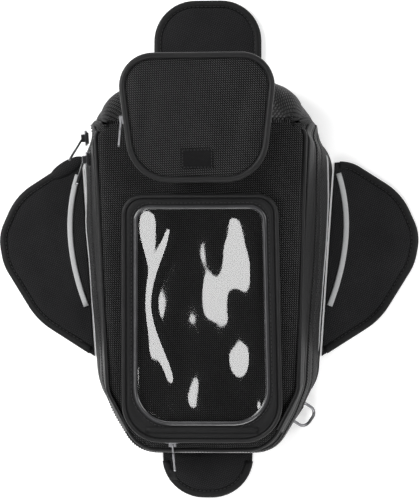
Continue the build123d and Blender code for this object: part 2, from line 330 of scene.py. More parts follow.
def blocks(name, places, size, mat):
    """Small tapered blocks. A place is (centre, along, up), and size is (length, width, height)."""
    bm = bmesh.new()
    for centre, along, up in places:
        side = along.cross(up).normalized()
        along = along.normalized()
        up = side.cross(along).normalized()
        corners = []
        for sx, sy, sz in BLOCK_CORNERS:
            taper = BLOCK_TAPER if sz > 0 else 1.0
            spot = centre + up * (sz * size[2] / 2)
            spot += along * (sx * size[0] / 2 * taper)
            spot += side * (sy * size[1] / 2 * taper)
            corners.append(bm.verts.new(spot * MM))
        for quad in BLOCK_FACES:
            bm.faces.new([corners[i] for i in quad])
    return link_mesh(name, bm, mat)


def spaced(path, pitch, closed=True):
    """Evenly spaced (point, direction) pairs along a line of points."""
    points = path + [path[0]] if closed else path
    out = []
    need = pitch / 2
    for a, b in zip(points, points[1:]):
        length = (b - a).length
        if length < 1e-6:
            continue
        while need < length:
            out.append((a.lerp(b, need / length), (b - a) / length))
            need += pitch
        need -= length
    return out


def teeth(name, path, normals, pitch, size, shift=0.0):
    """Row of zip teeth on a path, each standing out along the nearest normal."""
    places = []
    for spot, along in spaced(path, pitch, False):
        near = min(range(len(path)), key=lambda i: (path[i] - spot).length_squared)
        places.append((spot + along * shift, along, normals[near]))
    return blocks(name, places, size, coil)


def stitches(name, line, up, pitch, size, closed=True):
    """Row of stitches along a line, all standing up the same way."""
    places = [(spot, along, up) for spot, along in spaced(line, pitch, closed)]
    return blocks(name, places, size, thread)


def place(obj, body, slot, *nodes):
    """Put a finished piece on its CAD body and hide the CAD nodes it stands for. The slot argument is not
    used.
    """
    if nodes:
        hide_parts(*nodes)
    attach(obj, body)
    return obj


# ---- materials ----
def material(name):
    """New material with the usual shader."""
    mat = bpy.data.materials.new(name)
    mat.use_nodes = True
    return mat


def shader(mat):
    return mat.node_tree.nodes["Principled BSDF"]


def link(mat, a, b):
    mat.node_tree.links.new(a, b)


def node(mat, kind, **inputs):
    """Shader node with its inputs set. An underscore in a name stands for a space."""
    made = mat.node_tree.nodes.new(kind)
    for key, value in inputs.items():
        made.inputs[key.replace("_", " ")].default_value = value
    return made


def colour_ramp(mat, factor, low, dark, high, light):
    """Colour that runs from dark to light as the factor goes from low to high."""
    made = node(mat, "ShaderNodeValToRGB")
    for element, position, color in zip(made.color_ramp.elements, (low, high), (dark, light)):
        element.position = position
        element.color = (*color, 1)
    link(mat, factor, made.inputs["Fac"])
    return made.outputs["Color"]


def woven(name, dark, light, pitch, rough, turn=45.0, bump=0.6, spec=0.06, gaps=0.0, mortar=0.016):
    """Woven cloth: thread bricks turned on the cloth, uneven dye and soft creases."""
    mat = material(name)
    base = shader(mat)
    uv = node(mat, "ShaderNodeTexCoord").outputs["UV"]
    turned = node(mat, "ShaderNodeMapping", Rotation=(0, 0, math.radians(turn)))
    link(mat, uv, turned.inputs["Vector"])
    threads = node(
        mat,
        "ShaderNodeTexBrick",
        Scale=1.0,
        Color1=(1, 1, 1, 1),
        Color2=(0.86, 0.86, 0.86, 1),
        Mortar=(gaps, gaps, gaps, 1),
        Brick_Width=pitch * 0.1,
        Row_Height=pitch * 0.055,
        Mortar_Size=pitch * mortar,
        Mortar_Smooth=0.5,
    )
    link(mat, turned.outputs["Vector"], threads.inputs["Vector"])
    dye = node(mat, "ShaderNodeTexNoise", Scale=0.22, Detail=3.0)
    link(mat, uv, dye.inputs["Vector"])
    mix = mat.node_tree.nodes.new("ShaderNodeMixRGB")
    mix.blend_type = "MULTIPLY"
    mix.inputs["Fac"].default_value = 1.0
    link(mat, colour_ramp(mat, dye.outputs["Fac"], 0.2, dark, 0.85, light), mix.inputs["Color1"])
    link(mat, threads.outputs["Color"], mix.inputs["Color2"])
    link(mat, mix.outputs["Color"], base.inputs["Base Color"])
    relief = node(mat, "ShaderNodeBump", Strength=bump, Distance=0.0006)
    link(mat, threads.outputs["Color"], relief.inputs["Height"])
    crease = node(mat, "ShaderNodeTexNoise", Scale=0.35, Detail=2.0)
    link(mat, uv, crease.inputs["Vector"])
    soft = node(mat, "ShaderNodeBump", Strength=0.35, Distance=0.004)
    link(mat, crease.outputs["Fac"], soft.inputs["Height"])
    link(mat, relief.outputs["Normal"], soft.inputs["Normal"])
    link(mat, soft.outputs["Normal"], base.inputs["Normal"])
    base.inputs["Roughness"].default_value = rough
    base.inputs["Specular IOR Level"].default_value = spec
    base.inputs["Sheen Weight"].default_value = 0.01
    base.inputs["Sheen Roughness"].default_value = 0.5
    return mat


def plain(name, color, rough, metal=0.0, grain=0.0, scale=1.0, coat=0.0):
    """Smooth material with slight colour variation and fine grain."""
    mat = material(name)
    base = shader(mat)
    spot = node(mat, "ShaderNodeTexCoord").outputs["Object"]
    patches = node(mat, "ShaderNodeTexNoise", Scale=60.0 * scale, Detail=3.0)
    link(mat, spot, patches.inputs["Vector"])
    dark = [c * 0.75 for c in color]
    light = [min(1, c * 1.2) for c in color]
    link(mat, colour_ramp(mat, patches.outputs["Fac"], 0.3, dark, 0.7, light), base.inputs["Base Color"])
    base.inputs["Roughness"].default_value = rough
    base.inputs["Metallic"].default_value = metal
    base.inputs["Coat Weight"].default_value = coat
    base.inputs["Coat Roughness"].default_value = 0.1
    fine = node(mat, "ShaderNodeTexNoise", Scale=1500.0 * scale, Detail=2.0)
    link(mat, spot, fine.inputs["Vector"])
    relief = node(mat, "ShaderNodeBump", Strength=grain, Distance=0.0003)
    link(mat, fine.outputs["Fac"], relief.inputs["Height"])
    link(mat, relief.outputs["Normal"], base.inputs["Normal"])
    return mat


def see_through(mat, color):
    """Take the usual shader out of a material and give it a transparent one."""
    mat.node_tree.nodes.remove(shader(mat))
    made = mat.node_tree.nodes.new("ShaderNodeBsdfTransparent")
    made.inputs["Color"].default_value = color
    return made.outputs["BSDF"]


def film(name):
    """Clear plastic: see-through, with a sharp gloss that grows towards grazing."""
    mat = material(name)
    clear_part = see_through(mat, (1, 1, 1, 1))
    skin = node(mat, "ShaderNodeBsdfGlossy", Roughness=0.04)
    facing = node(mat, "ShaderNodeFresnel", IOR=2.6)
    mix = mat.node_tree.nodes.new("ShaderNodeMixShader")
    link(mat, facing.outputs["Fac"], mix.inputs["Fac"])
    link(mat, clear_part, mix.inputs[1])
    link(mat, skin.outputs["BSDF"], mix.inputs[2])
    link(mat, mix.outputs["Shader"], mat.node_tree.nodes["Material Output"].inputs["Surface"])
    return mat


def film_inside(name):
    """The clear sheet's inner side and rim, which only let light through."""
    mat = material(name)
    through = see_through(mat, (0.97, 0.975, 0.98, 1))
    link(mat, through, mat.node_tree.nodes["Material Output"].inputs["Surface"])
    return mat


ballistic = woven(
    "ballistic_nylon", (0.062, 0.062, 0.063), (0.101, 0.101, 0.103), 2.3, 0.5,
    bump=0.9, spec=0.08, mortar=0.022,
)
flap_cloth = woven(
    "flap_nylon", (0.024, 0.024, 0.0255), (0.041, 0.041, 0.043), 2.0, 0.55, turn=30.0, gaps=0.1,
)
# painted light: the pocket's backing is the shell nylon painted about twice as bright, a lit copy standing
# in for light on the cloth seen through the window
backing = woven("pocket_backing_painted_light", (0.13, 0.13, 0.132), (0.19, 0.19, 0.193), 2.3, 0.5)
coarse = woven("coarse_webbing", (0.06, 0.06, 0.061), (0.09, 0.09, 0.092), 3.4, 0.55, turn=0.0, bump=0.9)
lining = woven(
    "lining", (0.03, 0.03, 0.031), (0.04, 0.04, 0.042), 1.0, 0.7,
    turn=0.0, bump=0.2, gaps=0.6, mortar=0.01,
)
binding_cloth = woven(
    "edge_binding", (0.009, 0.009, 0.0095), (0.015, 0.015, 0.0155), 1.1, 0.45,
    turn=0.0, bump=0.35, spec=0.12, gaps=0.6, mortar=0.01,
)
tape_cloth = woven(
    "zip_tape", (0.014, 0.014, 0.0145), (0.022, 0.022, 0.0225), 1.2, 0.45,
    turn=90.0, bump=0.3, spec=0.12, gaps=0.4, mortar=0.01,
)
piping_cloth = woven(
    "piping", (0.011, 0.011, 0.0115), (0.018, 0.018, 0.0185), 1.0, 0.4,
    turn=60.0, bump=0.25, spec=0.18, gaps=0.6, mortar=0.01,
)
label_cloth = woven(
    "label_weave", (0.012, 0.012, 0.0125), (0.02, 0.02, 0.0205), 1.4, 0.65,
    turn=0.0, bump=0.7, spec=0.03, gaps=0.1, mortar=0.01,
)
reflective = woven(
    "reflective_ribbon", (0.42, 0.425, 0.43), (0.5, 0.505, 0.51), 0.9, 0.4,
    turn=0.0, bump=0.3, gaps=0.9, mortar=0.01,
)
thread = plain("thread", (0.012, 0.012, 0.013), 0.5, grain=0.3)
coil = plain("zip_coil", (0.012, 0.012, 0.0125), 0.35, grain=0.1)
grip = plain("grip_mat", (0.02, 0.02, 0.02), 0.8, grain=0.8, scale=0.4)
board = plain("stiffener_board", (0.03, 0.03, 0.03), 0.6, grain=0.3)
metal = plain("gunmetal", (0.24, 0.24, 0.25), 0.28, metal=1.0, grain=0.08)
gloss = plain("welded_edge", (0.03, 0.03, 0.032), 0.25, grain=0.05, coat=0.3)
clear = film("clear_pvc")
clear_inside = film_inside("clear_pvc_inner")

# ---- walls of the body: columns from the base outline up to the lid outline ----
base_ring = rounded(**BASE)
top_ring = rounded(**TOP)
COLS = len(base_ring)
feet = [Vector((x, y, BASE_Z)) for x, y, _, _ in base_ring]
heads = [on_lid(u, v) for u, v, _, _ in top_ring]


def outward(j):
    """Direction square to column j that points out of the bag."""
    mean = Vector((base_ring[j][2] + top_ring[j][2], base_ring[j][3] + top_ring[j][3], 0)).normalized()
    rise = (heads[j] - feet[j]).normalized()
    return (mean - rise * mean.dot(rise)).normalized()


outs = [outward(j) for j in range(COLS)]


def split_t(j):
    """Share of the wall's height at which the lid parts from the base."""
    foot, head = feet[j], heads[j]
    under, over = foot.z - zip_z(foot.y), head.z - zip_z(head.y)
    t = under / (under - over)
    if foot.lerp(head, t).y <= HINGE_Y:
        return t
    if head.y >= HINGE_Y:
        return 1.0
    return min(1.0, (HINGE_Y - foot.y) / (head.y - foot.y))


def height_of(j):
    """Length of wall column j from foot to head."""
    return (heads[j] - feet[j]).length


def wall_point(j, t, out=0.0):
    """Point on wall column j, t of the way up, with the soft fullness of a stuffed bag."""
    foot, head = feet[j], heads[j]
    spot = foot.lerp(head, t)
    split = split_t(j)
    rise = min(1.0, t)
    arch = math.sin(math.pi * rise)
    if t <= split:
        full = math.sin(math.pi * min(1.0, t / split))
    else:
        full = 0.6 * math.sin(math.pi * (t - split) / max(1e-6, 1 - split))
    ripple = WALL_RIPPLE * noise.noise(Vector((spot.x * 0.035, spot.y * 0.035, spot.z * 0.05)))
    swell = (WALL_FULLNESS + ripple) * max(0.0, full) ** 0.8
    shoulder = ramp(abs(foot.x), 34, 52) * ramp(foot.y, 76, 92)
    swell += SHOULDER_FULLNESS * shoulder * math.sin(math.pi * rise ** 1.6) ** 0.8
    swell += NOSE_FULLNESS * ramp(foot.y, 120, 138) * arch
    side = ramp(abs(foot.x), 80, 90) * ramp(70 - abs(foot.y), 0, 60)
    rear_corner = ramp(-foot.y, 105, 135) * ramp(abs(foot.x), 30, 60)
    swell += arch ** 0.7 * (SIDE_FULLNESS * side + REAR_CORNER_FULLNESS * rear_corner)
    swell *= ramp(t * (head - foot).length, 3, 16)
    # the lid's rear wall is flat, so that the pocket's pull hangs free of it
    if t > split and foot.y < -150:
        swell *= 0.1 + 0.9 * ramp(abs(foot.x), 34, 50)
    return spot + outs[j] * (swell + out)


def band(name, low, high, out, thick, mat, keep):
    """Strip round the walls, from low to high millimetres from the parting line."""
    cols = unbroken([j for j in range(COLS) if keep(j)], COLS)
    rows = []
    for height in spread(low, high, BAND_STEPS + 1):
        rows.append([wall_point(j, split_t(j) + height / height_of(j), out) for j in cols])
    return grid(name, rows, mat, closed=False, thick=thick, offset=1.0)


def zipped(j):
    """Whether the main zip runs along column j."""
    return feet[j].lerp(heads[j], split_t(j)).y < HINGE_Y - 3.0


def beside(j, sign):
    """Whether column j is in a side wall or its rear corner: sign is 1 on the right, -1 on the left."""
    return zipped(j) and feet[j].x * sign > 60


def crown(u, v):
    """Soft height of the lid's top face over its flat plane."""
    edge = min(1.0, max(0.0, (78 - abs(u)) / 18))
    edge *= min(1.0, max(0.0, (v + 256) / 16)) * min(1.0, max(0.0, -v / 12))
    return edge * (0.5 * noise.noise(Vector((u * 0.03, v * 0.03, 3.7))) - 0.9)


# ---- cloth of the base and the lid ----
lower_rows = []
lid_rows = []
for f in spread(0, 1, WALL_STEPS + 1):
    lower_rows.append([wall_point(j, f * (split_t(j) - SPLIT_GAP / height_of(j))) for j in range(COLS)])
    starts = [min(1.0, split_t(j) + SPLIT_GAP / height_of(j)) for j in range(COLS)]
    lid_rows.append([wall_point(j, start + (1 - start) * f) for j, start in enumerate(starts)])

# the lid's upper edge is rounded off, and its front stays behind the hinge
for j in range(COLS):
    lid_rows[WALL_STEPS][j] += outs[j] * -1.0 + Vector((0, 0, -0.8))
    for row in lid_rows:
        if row[j].z > 88:
            row[j].y = min(row[j].y, HINGE_Y - 0.5)

# the lid's top face closes in on a line down its middle
for f in (0.97, 0.92, 0.84, 0.72, 0.58, 0.42, 0.26, 0.12, 0.0):
    row = []
    for u, v, _, _ in top_ring:
        core = max(-205.0, min(-40.0, v))
        uu, vv = u * f, core + (v - core) * f
        row.append(on_lid(uu, min(vv, -0.6), crown(uu, vv)))
    lid_rows.append(row)

lower = grid("lower_shell_cloth", lower_rows, ballistic, thick=SHELL_THICK)
place(lower, "base", "shell_fabric", "lower_shell")
lid = grid("lid_cloth", lid_rows, ballistic, thick=SHELL_THICK)
place(lid, "lid", "shell_fabric", "lid_shell")

# ---- main zip and the strips beside it ----
lower_tape = band("lower_zip_tape", -10.5, -0.6, 0.3, TAPE_THICK, tape_cloth, zipped)
place(lower_tape, "base", "zip_tape", "main_zip_lower_tape")
upper_tape = band("upper_zip_tape", 0.6, 9.0, 0.3, TAPE_THICK, tape_cloth, zipped)
place(upper_tape, "lid", "zip_tape", "main_zip_upper_tape")
for side, sign in SIDES:
    webbing = band(
        side + "_side_webbing", -29.5, -11.5, 0.25, TAPE_THICK, coarse, lambda j: beside(j, sign)
    )
    place(webbing, "base", "shell_fabric")
    facing = band(
        side + "_lid_side_facing", 9.4, 26.5, 0.2, 0.6, tape_cloth, lambda j: beside(j, sign)
    )
    place(facing, "lid", "shell_fabric")

zip_cols = unbroken([j for j in range(COLS) if zipped(j)], COLS)
zip_outs = [outs[j] for j in zip_cols]
for half, body, lift, shift in (("lower", "base", -1.1, 0.0), ("upper", "lid", 1.1, 1.1)):
    path = [wall_point(j, split_t(j) + lift / height_of(j), 1.5) for j in zip_cols]
    made = teeth(half + "_zip_teeth", path, zip_outs, 2.3, (1.1, 1.3, 1.3), shift)
    place(made, body, "zip_chain", "main_zip_" + half + "_chain")

# ---- piping along the lid's top edge, from one front corner round the rear to the other ----
rim = unbroken([j for j in range(COLS) if heads[j].y < HINGE_Y - 6.0], COLS)
edge_path = [heads[j] + outs[j] * 1.7 + Vector((0, 0, -2.2)) for j in rim]
lid_edge = tube("lid_edge_piping", edge_path, 1.45, piping_cloth, closed=False)
place(lid_edge, "lid", "piping", "lid_piping")
seam = [wall_point(j, 1.0 - 5.0 / height_of(j), 0.35) for j in rim]
RIM_STITCHES = 160
places = []
for i, (spot, along) in enumerate(spaced(seam, 3.6, False)):
    near = min(len(rim) - 1, i * len(rim) // RIM_STITCHES)
    places.append((spot, along, outs[rim[near]]))
place(blocks("lid_edge_stitches", places, (2.4, 0.5, 0.5), thread), "lid", "piping")

# ---- welt tucked under the foot of the walls ----
foot_path = [feet[j] - outs[j] * 0.35 + Vector((0, 0, -0.3)) for j in range(COLS)]
place(tube("base_welt", foot_path, 0.9, piping_cloth), "base", "binding")

# ---- light piping low on each side wall: one CAD node holds both sides ----
for side, sign in SIDES:
    cols = [j for j in range(COLS) if feet[j].x * sign > 70 and -88 < feet[j].y < 70]
    cols.sort(key=lambda j: feet[j].y)
    line = [wall_point(j, split_t(j) - 33.0 / height_of(j), 0.6) for j in cols]
    piece = tube(side + "_side_reflective_piping", line, 0.8, reflective, closed=False)
    stands_for = ["side_reflective_piping"] if side == "right" else []
    place(piece, "base", "reflective", *stands_for)

# ---- window pocket: its backing, rim, border and edges ----
# the backing cloth wears the brighter painted-light copy of the shell nylon
rows = []
for v in spread(-63, -241, 20):
    half = 55.0 - 14 * ramp(-v, 222, 244)
    rows.append([on_lid(u, v, 0.7 + crown(u, v)) for u in spread(-half, half, 29)])
place(grid("pocket_backing", rows, backing, closed=False, thick=TAPE_THICK), "lid", "shell_fabric")

RIM_PROFILE = ((0.5, -0.6), (0.4, 1.0), (0.0, 2.2), (-0.2, POCKET_SPLIT - 0.3))
rows = [lid_outline(POCKET, grow, height) for grow, height in RIM_PROFILE]
place(grid("pocket_rim_tape", rows, tape_cloth, thick=1.2), "lid", "shell_fabric", "pocket_rim")


def blend_outline(share, grow, height):
    """Outline between the pocket's edge, grown outward, and the window's edge."""
    outer = rounded(grow=grow, **POCKET)
    inner = rounded(grow=1.0, **WINDOW)
    points = []
    for a, b in zip(outer, inner):
        points.append(on_lid(a[0] + (b[0] - a[0]) * share, a[1] + (b[1] - a[1]) * share, height))
    return points


# (how far outside the pocket's edge, height) up the border's side and over its edge
BORDER_SIDE = (
    (0.0, POCKET_SPLIT + 0.3),
    (0.5, POCKET_SPLIT + 2.0),
    (0.6, POCKET_SPLIT + 4.0),
    (0.2, POCKET_TOP - 2.2),
    (-0.6, POCKET_TOP - 1.0),
    (-1.8, POCKET_TOP - 0.2),
    (-3.2, POCKET_TOP + 0.15),
)
# (share of the way in to the window, height) over the border's face
BORDER_FACE = (
    (0.35, POCKET_TOP - 0.5),
    (0.6, POCKET_TOP - 0.75),
    (0.8, POCKET_TOP - 0.6),
    (1.0, POCKET_TOP - 0.45),
)
rows = [blend_outline(0.0, grow, height) for grow, height in BORDER_SIDE]
rows += [blend_outline(share, -3.2, height) for share, height in BORDER_FACE]
border = grid("window_border", rows, binding_cloth, thick=1.4)
place(border, "window_flap", "shell_fabric", "window_frame")

pocket_edge = tube("pocket_edge_piping", lid_outline(POCKET, 1.1, POCKET_TOP - 1.0), 1.7, piping_cloth)
place(pocket_edge, "window_flap", "piping", "pocket_piping")

GLOSSY_PROFILE = (
    (3.2, POCKET_TOP - 0.1),
    (2.6, POCKET_TOP + 0.45),
    (1.2, POCKET_TOP + 0.6),
    (-0.2, POCKET_TOP + 0.35),
    (-0.5, POCKET_TOP - 0.6),
)
rows = [lid_outline(WINDOW, grow, height) for grow, height in GLOSSY_PROFILE]
glossy_edge = grid("window_glossy_edge", rows, gloss, thick=0.4)
place(glossy_edge, "window_flap", "window_binding", "window_edge_binding")
line = lid_outline(WINDOW, 4.6, POCKET_TOP - 0.05)
place(stitches("window_stitches", line, LID_UP, 3.4, (2.3, 0.5, 0.4)), "window_flap", "binding")

rows = []
for v, lift in ((-237.0, 0.2), (-239.6, 0.75), (-242.2, 0.2)):
    rows.append([on_lid(u, v, POCKET_TOP + lift) for u in spread(-44, 44, 23)])
hem = grid("window_hem", rows, binding_cloth, closed=False, thick=0.3)
place(hem, "window_flap", "binding", "window_hem_band")

# ---- clear sheet of the window ----
SHEET_FRONT = -64
SHEET_REAR = -235
SHEET_LENGTH = SHEET_FRONT - SHEET_REAR
# (across, along, width, length, height) of each soft swelling
SWELLINGS = (
    (45, -118, 15, 30, 2.5),
    (20, -140, 9, 12, 0.9),
    (40, -184, 8, 8, 0.9),
    (-32, -80, 10, 16, 1.0),
)


def sheet_height(u, v):
    """Waves, swellings and one long soft fold of the clear sheet."""
    edge = ramp(50 - abs(u), 0, 10) * ramp(v + 233, 0, 12) * ramp(-66 - v, 0, 10)
    wave = 0.36 * noise.noise(Vector((u * 0.05, v * 0.03, 1.3)))
    wave += 0.07 * noise.noise(Vector((u * 0.09, v * 0.06, 8.1)))
    swell = 0.0
    for at_u, at_v, wide, tall, high in SWELLINGS:
        swell += high * math.exp(-(((u - at_u) / wide) ** 2 + ((v - at_v) / tall) ** 2) / 2)
    path = -30 - 9 * math.cos((v + 140) * 0.045)
    fold = 0.45 * ridge(u - path, 3.0) * ramp(v, -205, -190) * ramp(-v, 75, 85)
    return edge * (wave + fold + swell - 0.3)


def sheet_half(v):
    """Half width of the clear sheet at a station, with its rounded corners."""
    half = 50.5 + 2.5 * (SHEET_FRONT - v) / SHEET_LENGTH
    for depth, radius in ((SHEET_FRONT - v, 12.0), (v - SHEET_REAR, 28.0)):
        if depth < radius:
            half -= radius - math.sqrt(max(0.0, radius ** 2 - (radius - depth) ** 2))
    return half


rows = []
for v in spread(SHEET_FRONT, SHEET_REAR, 118):
    half = sheet_half(v)
    rows.append([on_lid(u, v, POCKET_TOP - 1.9 + sheet_height(u, v)) for u in spread(-half, half, 73)])
window = grid("clear_window_sheet", rows, clear, closed=False, thick=0.4)
window.data.materials.append(clear_inside)
window.modifiers["Thickness"].material_offset = 1
window.modifiers["Thickness"].material_offset_rim = 1
place(window, "window_flap", "window_pvc", "clear_window")


def lid_zip(prefix, shape, grow, front, height, gap, pitch, size, upper_body):
    """Both rows of teeth of a zip round an outline on the lid, behind the station front."""
    ring = rounded(grow=grow, **shape)
    run = unbroken([i for i, spot in enumerate(ring) if spot[1] < front], len(ring))
    normals = [lid_direction(ring[i][2], ring[i][3]) for i in run]
    for half, body, lift in (("lower", "lid", -gap), ("upper", upper_body, gap)):
        path = [on_lid(ring[i][0], ring[i][1], height + lift) for i in run]
        made = teeth(prefix + "_" + half + "_teeth", path, normals, pitch, size, shift=0.5 + lift)
        place(made, body, "zip_chain", prefix + "_zip_" + half + "_chain")


lid_zip("pocket", POCKET, 0.7, -80, POCKET_SPLIT, 0.75, 2.0, (0.95, 1.1, 1.1), "window_flap")

# ---- top pouch: its gusset ----
# (how far outside the pouch's outline, height)
GUSSET_PROFILE = ((-1.0, 0.6), (0.6, 2.2), (1.8, 7.0), (1.9, 12.0), (1.0, 16.5), (0.1, POUCH_SPLIT - 0.3))


def pouch_inset(f, u, v):
    """Point of the pouch's outline drawn in towards its middle."""
    return u * f, POUCH_MID + (v - POUCH_MID) * f


rows = []
for f in (0.0, 0.5, 0.95):
    row = []
    for u, v, _, _ in rounded(grow=-1, **POUCH):
        row.append(on_lid(*pouch_inset(f, u, v), POUCH_FLOOR - 0.3))
    rows.append(row)
for grow, height in GUSSET_PROFILE:
    row = []
    for u, v, nx, ny in rounded(grow=grow, **POUCH):
        ripple = 0.9 * noise.noise(Vector((u * 0.06, v * 0.06, height * 0.09)))
        row.append(on_lid(u, v, height) + lid_direction(nx, ny) * ripple)
    rows.append(row)
gusset = grid("pouch_gusset", rows, ballistic, thick=POUCH_THICK)
place(gusset, "lid", "shell_fabric", "pouch_shell", "pouch_seam_strip")


def face_height(u, v):
    """Stuffed crown of the pouch's face, with two creases and a few lumps."""
    along = v - POUCH_MID
    du = 1 - min(1.0, abs(u) / (52 + along * 0.17)) ** 2.4
    dv = 1 - min(1.0, abs(along) / 46) ** 2.4
    puff = POUCH_FULLNESS * (max(0.0, du) * max(0.0, dv)) ** 0.6
    crease = -3.4 * ridge(u + 38 - along * 0.12, 4.0) * max(0.0, 1 - abs(v - 8) / 34)
    crease -= 3.8 * ridge(u - 32 - along * 0.24, 4.5) * max(0.0, 1 - abs(v - 2) / 40)
    lump = 0.9 * noise.noise(Vector((u * 0.05, v * 0.05, 5.5)))
    return puff + (crease + lump) * min(1.0, puff / 2.5)


# ---- top pouch: its face, piping and blank label ----
# (how far outside the pouch's outline, height)
FACE_EDGE = ((0.0, POUCH_SPLIT + 0.3), (0.7, 23.5), (0.6, 26.0), (0.0, 28.0), (-1.6, 29.0))
rows = [lid_outline(POUCH, grow, height) for grow, height in FACE_EDGE]
for f in (0.94, 0.9, 0.84, 0.76, 0.66, 0.55, 0.43, 0.3, 0.17, 0.07, 0.0):
    row = []
    for u, v, _, _ in rounded(**POUCH):
        uu, vv = pouch_inset(f, u, v)
        row.append(on_lid(uu, vv, POUCH_TOP - 1.4 + face_height(uu, vv) * min(1.0, (1 - f) * 9)))
    rows.append(row)
face = grid("pouch_face", rows, ballistic, thick=POUCH_THICK)
place(face, "pouch_lid", "shell_fabric", "pouch_cover")
pouch_edge = tube("pouch_edge_piping", lid_outline(POUCH, 1.2, POUCH_TOP - 1.1), 2.4, piping_cloth)
place(pouch_edge, "pouch_lid", "piping", "pouch_piping")

rows = []
for v in spread(-33.5, -18.5, 7):
    rows.append([on_lid(u, v, POUCH_TOP - 0.5 + face_height(u, v)) for u in range(-12, 13, 2)])
label = grid("blank_label", rows, label_cloth, closed=False, thick=TAPE_THICK)
place(label, "pouch_lid", "label", "pouch_blank_label")
label_edge = [(u, -32.6) for u in range(-11, 12, 2)]
label_edge += [(11, v) for v in range(-32, -19, 2)]
label_edge += [(u, -19.4) for u in range(11, -12, -2)]
label_edge += [(-11, v) for v in range(-20, -33, -2)]
line = [on_lid(u, v, POUCH_TOP - 0.4 + face_height(u, v)) for u, v in label_edge]
place(stitches("label_stitches", line, LID_UP, 2.6, (1.8, 0.45, 0.35)), "pouch_lid", "piping")

# ---- top pouch: light line and zip ----
rows = [lid_outline(POUCH, grow, height) for grow, height in ((1.5, 4.0), (2.1, 5.0), (2.0, 6.0))]
light_line = grid("pouch_light_line", rows, reflective, thick=0.3)
place(light_line, "lid", "reflective", "pouch_reflective_line")
lid_zip("pouch", POUCH, 0.9, 34, POUCH_SPLIT, 0.9, 2.1, (1.0, 1.2, 1.2), "pouch_lid")

# ---- fabric tag looped through the pocket zip's pull ----
TAG_X = -24
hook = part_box("pocket_pull")[0] / MM
rows = []
for k in range(4):
    y, z = hook.y + 1.0 - 2.6 * k, hook.z + 2.0 - 0.3 * k * k
    rows.append([Vector((TAG_X + across, y, z)) for across in (-3, -1, 1, 3)])
tag = grid("pocket_pull_tag", rows, binding_cloth, closed=False, thick=0.8)
place(tag, "pocket_pull", "binding")

# ---- flaps ----
BINDING_WIDTH = 6.6
STITCH_SHARE = 0.72
STITCH_HEIGHT = 5.05
WING_CLEARANCE = 5.5
END_CLEARANCE = 3.5
# (share of the way in across the binding, height, swell outward), from the top face round to the underside
BINDING_PROFILE = (
    (0.85, 4.6, 0.0),
    (0.4, 5.15, 0.0),
    (0.15, 5.0, 0.0),
    (0.0, 4.0, 0.5),
    (0.0, 2.2, 0.75),
    (0.0, 0.6, 0.3),
    (0.3, 0.12, 0.0),
    (0.85, 0.1, 0.0),
)


def flap_panel(name, ring, seed):
    """Padded panel with a flat underside and a gently uneven top."""
    cx = sum(edge[0] for edge in ring) / len(ring)
    cy = sum(edge[1] for edge in ring) / len(ring)

    def inset(edge, f):
        return cx + (edge[0] - cx) * f, cy + (edge[1] - cy) * f

    rows = []
    for f in (0.0, 0.25, 0.5, 0.72, 0.88, 0.97):
        rows.append([Vector((*inset(edge, f), 0.25)) for edge in ring])
    for z in (1.2, 3.0):
        rows.append([Vector((edge[0], edge[1], z)) for edge in ring])
    for f in (0.985, 0.96, 0.92, 0.86, 0.78, 0.68, 0.56, 0.42, 0.28, 0.14, 0.0):
        row = []
        for edge in ring:
            x, y = inset(edge, f)
            padding = 0.7 + noise.noise(Vector((x * 0.03, y * 0.03, seed)))
            row.append(Vector((x, y, FLAP_TOP + padding * min(1.0, (1 - f) * 3))))
        rows.append(row)
    panel = grid(name + "_panel_cloth", rows, flap_cloth)
    place(panel, name, "flap_fabric", name + "_panel", name + "_magnets")


def flap_binding(name, edge, seed):
    """Folded binding and stitches round a free edge of (x, y, nx, ny, inner x, inner y)."""
    rows = []
    for share, z, swell in BINDING_PROFILE:
        row = []
        for x, y, nx, ny, ix, iy in edge:
            uneven = 0.25 * noise.noise(Vector((x * 0.1, y * 0.1, seed + 2))) if z > 3 else 0.0
            px = x + (ix - x) * share + nx * swell
            py = y + (iy - y) * share + ny * swell
            row.append(Vector((px, py, z + uneven)))
        rows.append(row)
    binding = grid(name + "_edge_binding", rows, binding_cloth, closed=False, thick=0.25)
    place(binding, name, "binding", name + "_binding")
    # the row starts and ends clear of the seam, so that it clears the wall when the flap is raised
    sewn = []
    for x, y, _, _, ix, iy in edge[3:-3]:
        sewn.append(Vector((x + (ix - x) * STITCH_SHARE, y + (iy - y) * STITCH_SHARE, STITCH_HEIGHT)))
    row = stitches(name + "_stitches", sewn, Vector((0, 0, 1)), 3.4, (2.2, 0.55, 0.45), closed=False)
    place(row, name, "binding")


def flap(name, shape, at_seam, seed, flip=1.0):
    """One flap with its binding. at_seam tells whether a point is beside the sewn edge."""
    ring = [(x * flip, y, nx * flip, ny) for x, y, nx, ny in rounded(**shape)]
    inner = [(x * flip, y) for x, y, _, _ in rounded(grow=-BINDING_WIDTH, **shape)]
    flap_panel(name, ring, seed)
    free = unbroken([i for i, edge in enumerate(ring) if not at_seam(edge[0], edge[1])], len(ring))
    flap_binding(name, [ring[i] + inner[i] for i in free], seed)


def beside_wall(x, y):
    """Whether a point of a wing is close to the side wall that it is sewn to."""
    return abs(x) < side_half(y, 0) + WING_CLEARANCE


flap("right_wing", WING, beside_wall, 1.0)
flap("left_wing", WING, beside_wall, 6.0, flip=-1.0)
flap("front_flap", FRONT_FLAP, lambda x, y: y < FRONT_SEAM + END_CLEARANCE, 11.0)
flap("rear_flap", REAR_FLAP, lambda x, y: y > REAR_SEAM - END_CLEARANCE, 17.0)

